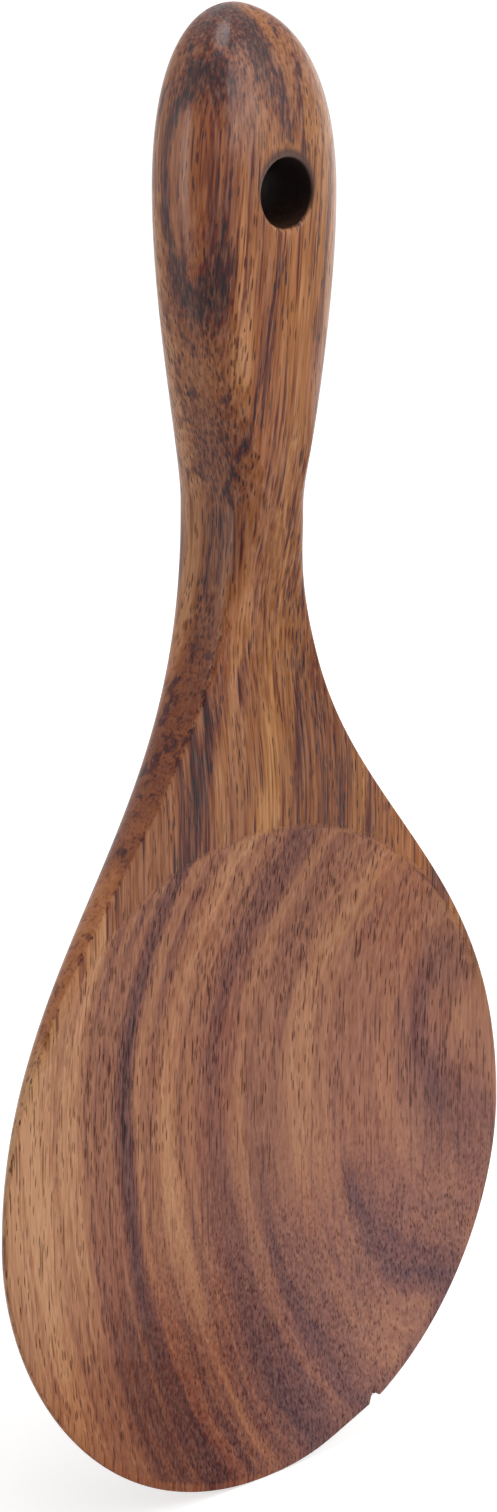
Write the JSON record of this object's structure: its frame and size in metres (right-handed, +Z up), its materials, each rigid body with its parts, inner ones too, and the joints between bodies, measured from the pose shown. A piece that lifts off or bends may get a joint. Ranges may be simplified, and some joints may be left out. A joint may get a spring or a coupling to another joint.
{
  "type": "rice paddle",
  "caption": "Carved hardwood rice paddle with a broad, shallow dished blade, a slim neck and a rounded handle with a hanging hole.",
  "frame": {"origin": "middle of the hanging hole, on its axis and on the middle plane of the handle", "axes": "+Z up the handle towards its tip, -Y the way the dished face looks, X across the blade"},
  "size_m": [0.092, 0.0171, 0.2],
  "materials": {
    "wood": "oiled satin, banded red-brown grain along the handle"
  },
  "bodies": {
    "root": {"paddle": "wood"}
  },
  "joints": []
}
